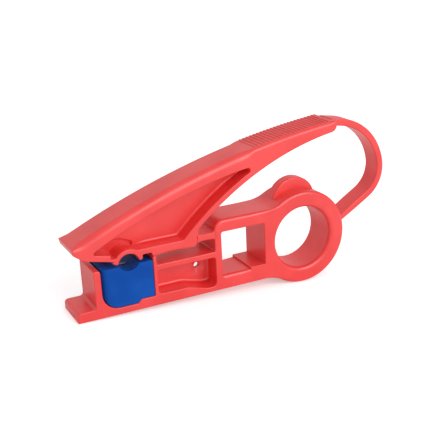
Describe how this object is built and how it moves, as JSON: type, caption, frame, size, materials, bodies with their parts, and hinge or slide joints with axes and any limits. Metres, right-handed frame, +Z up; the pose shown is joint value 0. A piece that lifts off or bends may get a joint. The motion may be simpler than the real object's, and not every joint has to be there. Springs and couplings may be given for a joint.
{
  "type": "twisted-pair cable stripper",
  "caption": "Pocket stripper for twisted-pair cable: springy moulding with finger ring, sprung jaw lever on a flexing neck, and slide-out blade cassette.",
  "frame": {"origin": "centre of the finger ring's bore, at mid thickness", "axes": "+Y along the ring's bore, away from the side seen in the picture; +X along the tool from jaw to ring, level with the surface it stands on; +Z up"},
  "size_m": [0.1164, 0.014, 0.0562],
  "materials": {
    "red_plastic": "glossy moulded red",
    "blue_plastic": "satin moulded blue",
    "blade_steel": "ground steel"
  },
  "bodies": {
    "frame": {"body_frame": "red_plastic", "hinge_neck": "red_plastic", "spring_strap": "red_plastic"},
    "lever": {"jaw_lever": "red_plastic"},
    "cassette": {"cassette_block": "blue_plastic", "jacket_blade": "blade_steel"}
  },
  "joints": [
    {"name": "jaw_hinge", "type": "hinge", "parent": "frame", "child": "lever", "pos_m": [-0.03698, 0, 0.00567], "axis": [0, 1, 0], "range_deg": [0, 17], "stiffness_Nm_per_rad": 1, "springref_deg": -1.72, "deforming": ["spring_strap", "hinge_neck"]},
    {"name": "cassette_slide", "type": "slide", "parent": "frame", "child": "cassette", "axis": [0, -1, 0], "range_m": [0, 0.016]}
  ]
}
